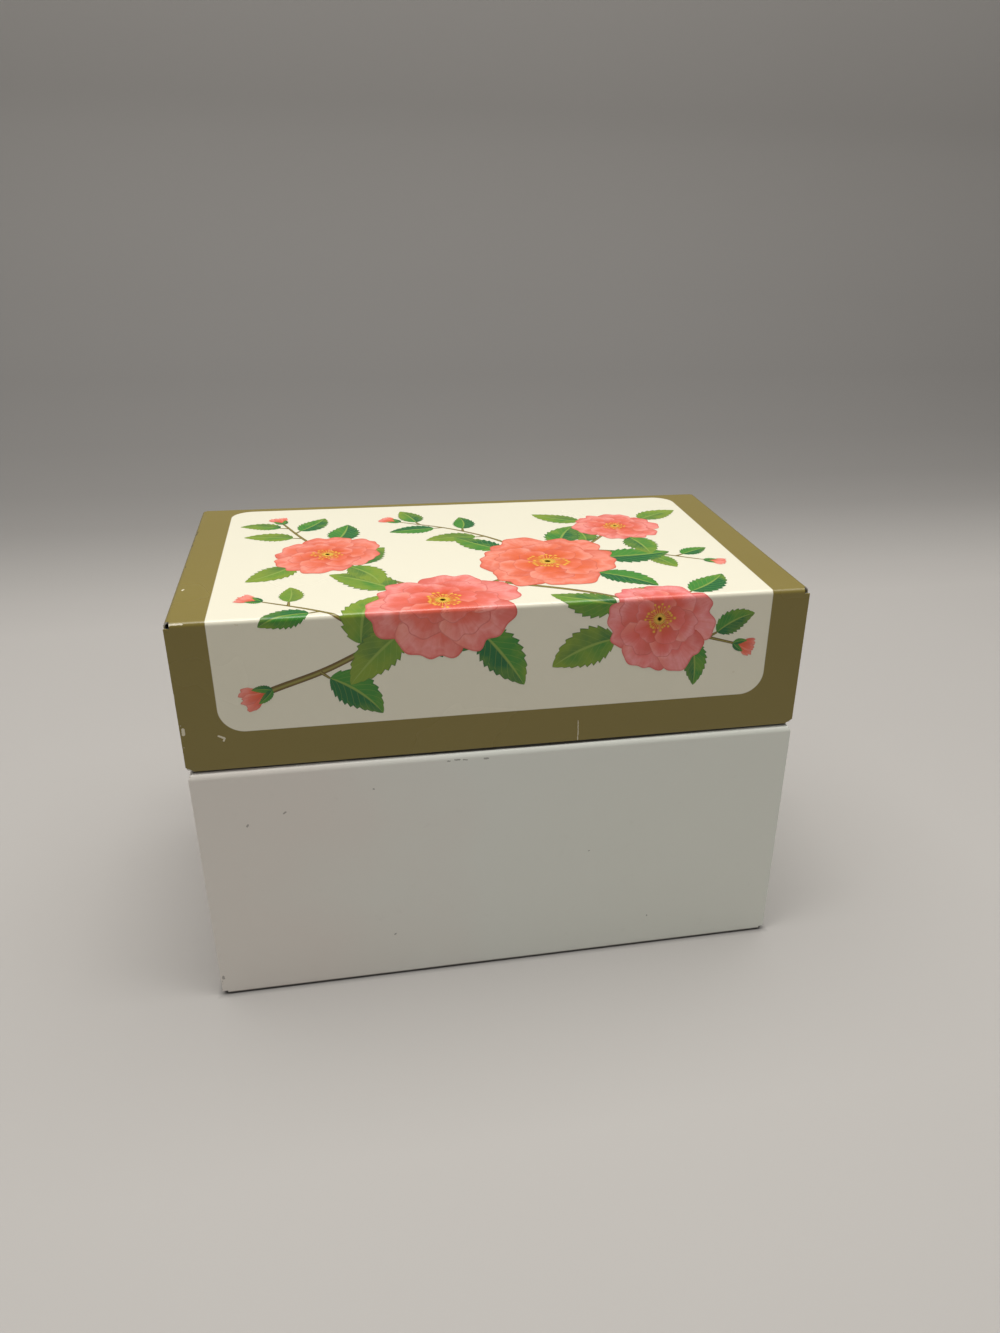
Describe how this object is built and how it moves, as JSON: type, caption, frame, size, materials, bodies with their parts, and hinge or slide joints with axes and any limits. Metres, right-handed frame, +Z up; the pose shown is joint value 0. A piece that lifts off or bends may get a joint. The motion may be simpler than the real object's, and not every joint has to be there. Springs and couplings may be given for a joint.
{
  "type": "recipe card box",
  "caption": "Folded tinplate box for upright index cards, with a deep printed lid that hangs over a stepped neck and swings back on wire hinges.",
  "frame": {"origin": "under the middle of the lid, at the base's underside, on the surface the box stands on", "axes": "+X to the right across the front, +Y from the front to the hinged back, +Z up"},
  "size_m": [0.1396, 0.0831, 0.0968],
  "materials": {
    "white_enamel": "white stoved enamel with a soft gloss outside, bare tinplate inside",
    "printed_enamel": "olive gold enamel with a cream printed panel, glossy outside, bare tinplate inside",
    "hinge_wire": "drawn steel wire, dull"
  },
  "bodies": {
    "tray": {"tray": "white_enamel", "hinge_pin_left": "hinge_wire", "hinge_pin_right": "hinge_wire"},
    "lid": {"lid": "printed_enamel"}
  },
  "joints": [
    {"name": "lid_hinge", "type": "hinge", "parent": "tray", "child": "lid", "pos_m": [0, 0.04018, 0.06442], "axis": [-1, 0, 0], "range_deg": [0, 105]}
  ]
}
